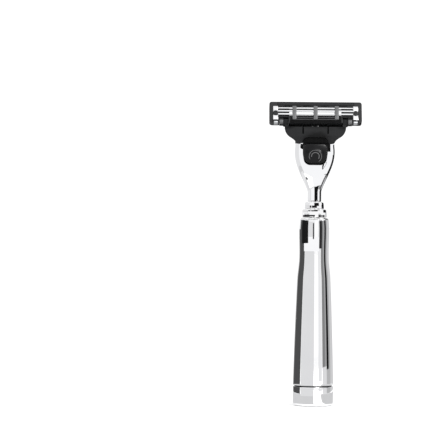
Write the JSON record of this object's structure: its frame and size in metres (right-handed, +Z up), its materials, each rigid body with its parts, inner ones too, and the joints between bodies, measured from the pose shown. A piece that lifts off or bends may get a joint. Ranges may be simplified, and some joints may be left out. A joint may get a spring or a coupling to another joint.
{
  "type": "cartridge razor",
  "caption": "Wet-shaving razor: turned chromed handle and head with a sprung release button, and a lift-off pivoting cartridge with floating blades, rubber guard and lubricating strip.",
  "frame": {"origin": "centre of the end cap's flat resting face", "axes": "+Z up along the handle's axis to the cartridge, -Y out of the shaving side, +X to the right of someone who looks at the shaving side"},
  "size_m": [0.0416, 0.0182, 0.137],
  "materials": {
    "chrome": "polished",
    "seal_rubber": "matte",
    "stud_brass": "turned",
    "spring_steel": "bright drawn wire",
    "insert_plastic": "moulded satin",
    "plunger_plastic": "moulded satin",
    "button_plastic": "fine satin",
    "connector_plastic": "moulded satin",
    "housing_plastic": "moulded satin",
    "guard_rubber": "matte finned",
    "lubricating_strip": "dry waxy",
    "clip_aluminium": "bright",
    "support_steel": "rolled",
    "blade_steel": "ground and honed"
  },
  "bodies": {
    "handle": {"end_cap": "chrome", "end_cap_seal": "seal_rubber", "barrel": "chrome", "tie_rod": "stud_brass", "collar_ring_lower": "chrome", "collar_ring_upper": "chrome", "head_casting": "chrome", "mechanism_insert": "insert_plastic", "insert_pins": "spring_steel", "plunger_spring": "spring_steel", "button_spring_left": "spring_steel", "button_spring_right": "spring_steel"},
    "release_button": {"release_button": "button_plastic"},
    "plunger": {"plunger": "plunger_plastic"},
    "connector": {"connector": "connector_plastic"},
    "cartridge": {"cartridge_housing": "housing_plastic", "guard_strip": "guard_rubber", "lubricating_strip": "lubricating_strip", "end_clip_left": "clip_aluminium", "end_clip_right": "clip_aluminium"},
    "blade_unit_1": {"blade_support_1": "support_steel", "blade_1": "blade_steel"},
    "blade_unit_2": {"blade_support_2": "support_steel", "blade_2": "blade_steel"},
    "blade_unit_3": {"blade_support_3": "support_steel", "blade_3": "blade_steel"}
  },
  "joints": [
    {"name": "release_button_slide", "type": "slide", "parent": "handle", "child": "release_button", "axis": [0, 0, 1], "range_m": [0, 0.0024], "stiffness_N_per_m": 250, "springref_m": -0.001, "deforming": ["button_spring_left", "button_spring_right"]},
    {"name": "cartridge_release", "type": "slide", "parent": "handle", "child": "connector", "axis": [0, 0, 1], "range_m": [0, 0.012]},
    {"name": "cartridge_pivot", "type": "hinge", "parent": "connector", "child": "cartridge", "pos_m": [0, -0.00507, 0.1285], "axis": [-1, 0, 0], "range_deg": [0, 40], "stiffness_Nm_per_rad": 0.01, "springref_deg": -17.19},
    {"name": "plunger_slide", "type": "slide", "parent": "handle", "child": "plunger", "axis": [0, 0, -1], "range_m": [0, 0.00369], "deforming": ["plunger_spring"]},
    {"name": "blade_1_float", "type": "slide", "parent": "cartridge", "child": "blade_unit_1", "axis": [0, 0.9272, -0.3746], "range_m": [0, 0.0004], "stiffness_N_per_m": 250, "springref_m": -0.0002},
    {"name": "blade_2_float", "type": "slide", "parent": "cartridge", "child": "blade_unit_2", "axis": [0, 0.9272, -0.3746], "range_m": [0, 0.0004], "stiffness_N_per_m": 250, "springref_m": -0.0002},
    {"name": "blade_3_float", "type": "slide", "parent": "cartridge", "child": "blade_unit_3", "axis": [0, 0.9272, -0.3746], "range_m": [0, 0.0004], "stiffness_N_per_m": 250, "springref_m": -0.0002}
  ],
  "couplings": [
    {"joint": "cartridge_pivot", "follows": "plunger_slide", "rad_per_m": 189}
  ]
}
